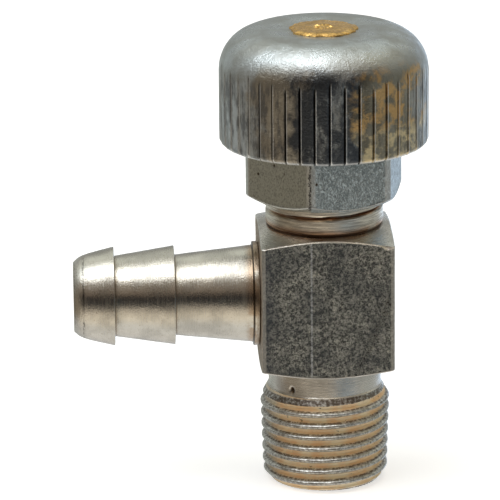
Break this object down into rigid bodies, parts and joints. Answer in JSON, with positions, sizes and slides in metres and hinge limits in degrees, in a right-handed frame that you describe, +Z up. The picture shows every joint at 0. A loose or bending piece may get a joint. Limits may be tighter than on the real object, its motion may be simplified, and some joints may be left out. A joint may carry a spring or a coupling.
{
  "type": "manual air vent",
  "caption": "Screw-down air vent with a knurled handwheel, a gland nut, a square body, a taper-threaded inlet below and a barbed hose tail on one side.",
  "frame": {"origin": "on the vertical axis, at the lower end of the inlet thread", "axes": "+Z up along the spindle, -X out through the hose tail, -Y out of the front face of the block"},
  "size_m": [0.0268, 0.0156, 0.0355],
  "materials": {
    "body_metal": "nickel-plated, rough drawn faces",
    "tail_metal": "nickel-plated, turned, satin",
    "wheel_steel": "pressed steel, zinc-plated",
    "nut_metal": "zinc-plated, worn",
    "brass": "bare brass, turned",
    "packing": "PTFE, matt",
    "ball_steel": "polished stainless steel"
  },
  "bodies": {
    "housing": {"valve_body": "body_metal", "hose_tail": "tail_metal", "packing_washer": "brass", "packing_ring_lower": "packing", "packing_ring_middle": "packing", "packing_ring_upper": "packing", "gland_follower": "brass", "gland_nut": "nut_metal"},
    "ball": {"closing_ball": "ball_steel"},
    "spindle": {"spindle": "brass", "handwheel": "wheel_steel"}
  },
  "joints": [
    {"name": "spindle_lift", "type": "slide", "parent": "housing", "child": "ball", "axis": [0, 0, 1], "range_m": [0, 0.0016]},
    {"name": "handwheel_turn", "type": "hinge", "parent": "ball", "child": "spindle", "pos_m": [0, 0, 0.03], "axis": [0, 0, 1], "range_deg": [0, 720]}
  ],
  "couplings": [
    {"joint": "spindle_lift", "follows": "handwheel_turn", "m_per_rad": 0.00012732}
  ]
}
